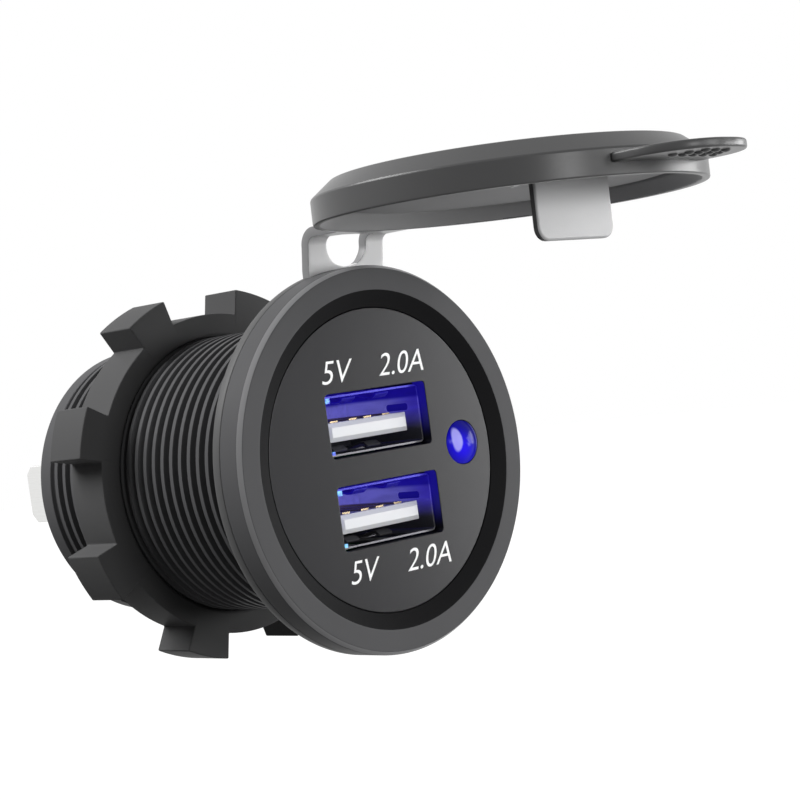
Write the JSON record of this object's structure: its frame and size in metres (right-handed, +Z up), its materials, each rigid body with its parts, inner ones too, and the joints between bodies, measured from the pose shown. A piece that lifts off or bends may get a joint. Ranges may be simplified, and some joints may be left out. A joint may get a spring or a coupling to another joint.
{
  "type": "panel power socket",
  "caption": "Round panel socket with charge ports and a lamp in a recessed face, a threaded barrel with a ring nut, blade terminals and a hinged soft lid.",
  "frame": {"origin": "on the barrel's axis in the plane of the sealing ring's rear face, which is the panel's front surface", "axes": "+Y along the barrel away from the user, +Z up towards the lid's hinge, +X to the right seen from the front"},
  "size_m": [0.038, 0.094, 0.0449],
  "materials": {
    "body_plastic": "satin black moulded plastic",
    "face_plastic": "fine satin black moulded plastic with white printed ratings",
    "nut_plastic": "satin black moulded plastic",
    "port_metal": "bright nickel-plated sheet steel",
    "port_plastic": "white moulded plastic",
    "contact_metal": "gold-plated spring brass",
    "lamp_lens": "clear blue cast lens",
    "board": "green solder mask on glass laminate",
    "capacitor_can": "bare drawn aluminium can",
    "ferrite": "dark grey pressed ferrite",
    "chip_plastic": "black moulded resin",
    "blade_metal": "tin-plated brass",
    "cap_rubber": "satin black flexible moulded rubber"
  },
  "bodies": {
    "socket": {"housing": "body_plastic", "face_plate": "face_plastic", "upper_shell": "port_metal", "upper_tongue": "port_plastic", "upper_contacts": "contact_metal", "lower_shell": "port_metal", "lower_tongue": "port_plastic", "lower_contacts": "contact_metal", "lamp": "lamp_lens", "lamp_leads": "blade_metal", "front_board": "board", "power_board": "board", "board_pins": "contact_metal", "input_capacitor": "capacitor_can", "output_capacitor": "capacitor_can", "inductor": "ferrite", "converter_chip": "chip_plastic", "output_diode": "chip_plastic", "rear_cover": "body_plastic", "positive_blade": "blade_metal", "negative_blade": "blade_metal", "cap_ring": "cap_rubber", "cap_strap": "cap_rubber"},
    "nut": {"ring_nut": "nut_plastic"},
    "lid": {"cap_lid": "cap_rubber"}
  },
  "joints": [
    {"name": "lid_hinge", "type": "hinge", "parent": "socket", "child": "lid", "pos_m": [0.00044, -0.0027, 0.0204], "axis": [0.9998, 0, -0.0218], "range_deg": [0, 90], "deforming": ["cap_strap"]},
    {"name": "nut_slide", "type": "slide", "parent": "socket", "child": "nut", "axis": [0, 1, 0], "range_m": [-0.0185, 0.009]}
  ]
}
